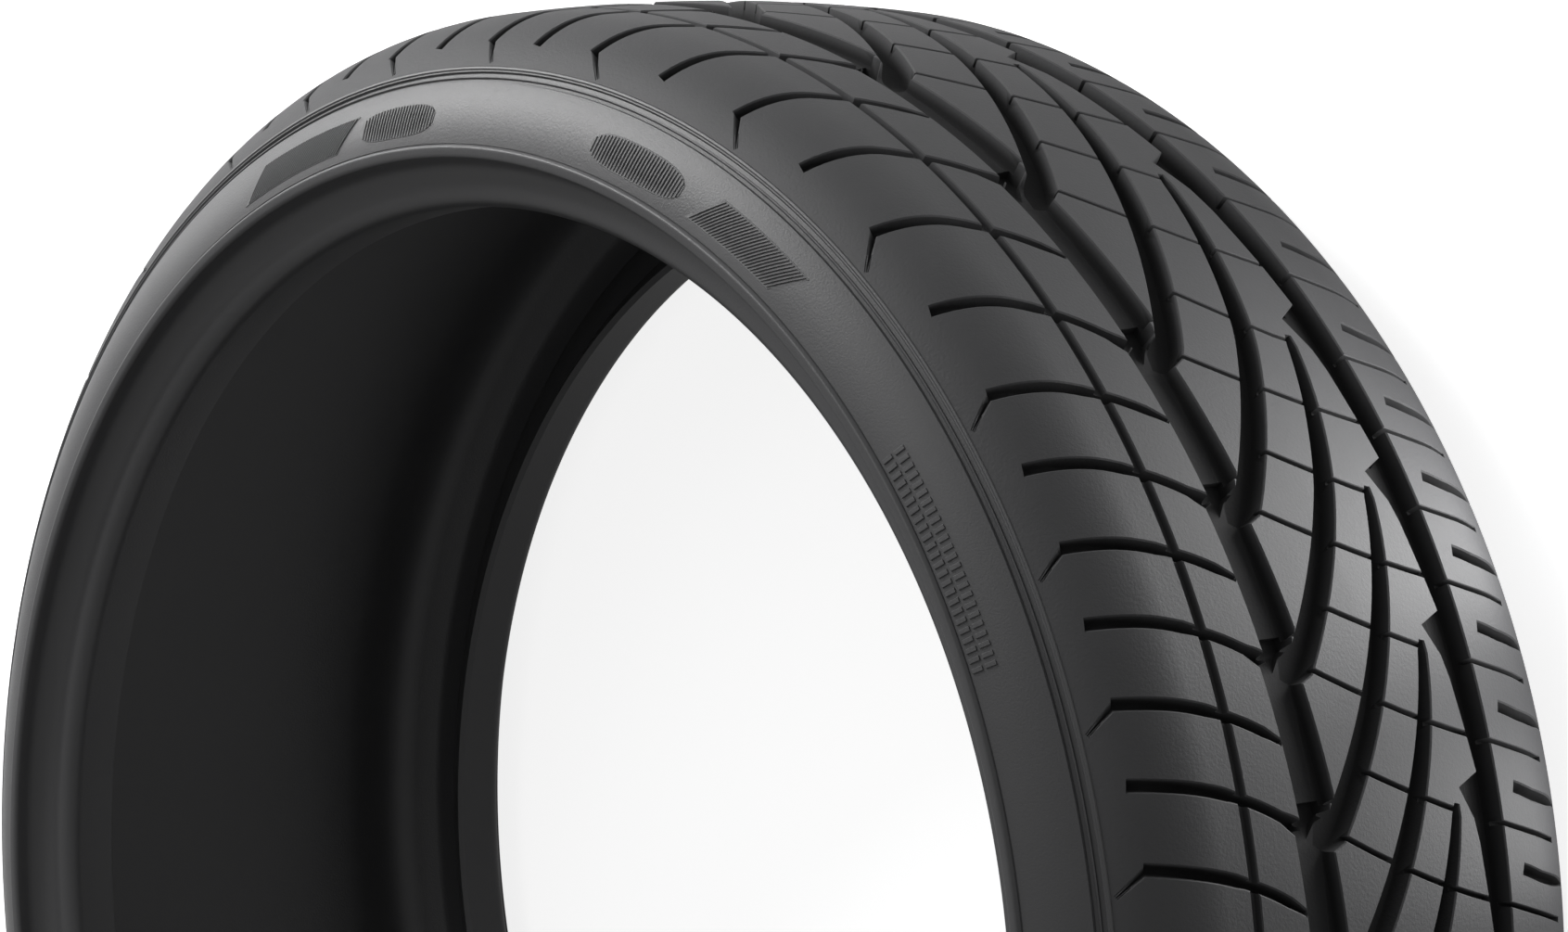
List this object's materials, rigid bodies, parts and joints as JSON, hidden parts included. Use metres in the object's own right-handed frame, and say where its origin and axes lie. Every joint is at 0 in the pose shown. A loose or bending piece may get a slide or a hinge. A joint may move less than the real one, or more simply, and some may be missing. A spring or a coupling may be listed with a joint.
{
  "type": "car tyre",
  "caption": "Low-profile radial car tyre with an asymmetric, curved-groove tread, smooth bulged sidewalls, rim protectors and a seat for the rim at each bead.",
  "frame": {"origin": "middle of the tyre: on its axis, halfway between the two sides", "axes": "+Z along the axis, towards the side that faces outwards on a car and that the picture shows; the tyre lies on its other side"},
  "size_m": [0.655, 0.655, 0.2402],
  "materials": {
    "rubber": "matt, faintly satin on the sidewall"
  },
  "bodies": {
    "root": {"tyre": "rubber"}
  },
  "joints": []
}
